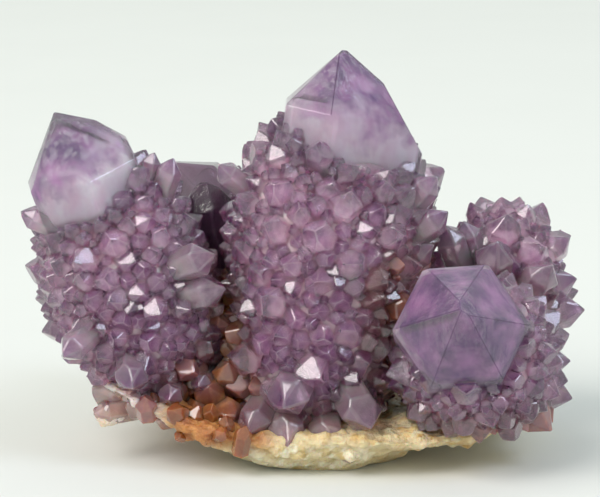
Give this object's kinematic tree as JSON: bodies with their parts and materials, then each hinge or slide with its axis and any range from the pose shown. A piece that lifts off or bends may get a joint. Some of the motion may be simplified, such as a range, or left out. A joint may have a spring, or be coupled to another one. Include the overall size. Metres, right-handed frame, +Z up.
{
  "type": "amethyst specimen",
  "caption": "Cluster of thick amethyst crystals with large smooth points and coats of small crystals, grown on a plate of rock.",
  "frame": {"origin": "on the flat foot of the rock, under the middle of the specimen, where it rests on the table", "axes": "+Z up, +X to the right as the specimen is shown, +Y to the back; one large point faces -Y"},
  "size_m": [0.0959, 0.0699, 0.069],
  "materials": {
    "amethyst": "glossy crystal faces, milky and see-through",
    "pale_amethyst": "glossy crystal faces, greyish and milky",
    "deep_amethyst": "glossy crystal faces, dark purple",
    "stained_quartz": "rough granular quartz with iron stain"
  },
  "bodies": {
    "root": {"centre_spire": "amethyst", "left_spire": "amethyst", "right_spire": "amethyst", "upper_right_spire": "amethyst", "back_spire": "pale_amethyst", "inner_crystal": "deep_amethyst", "rock": "stained_quartz"}
  },
  "joints": []
}
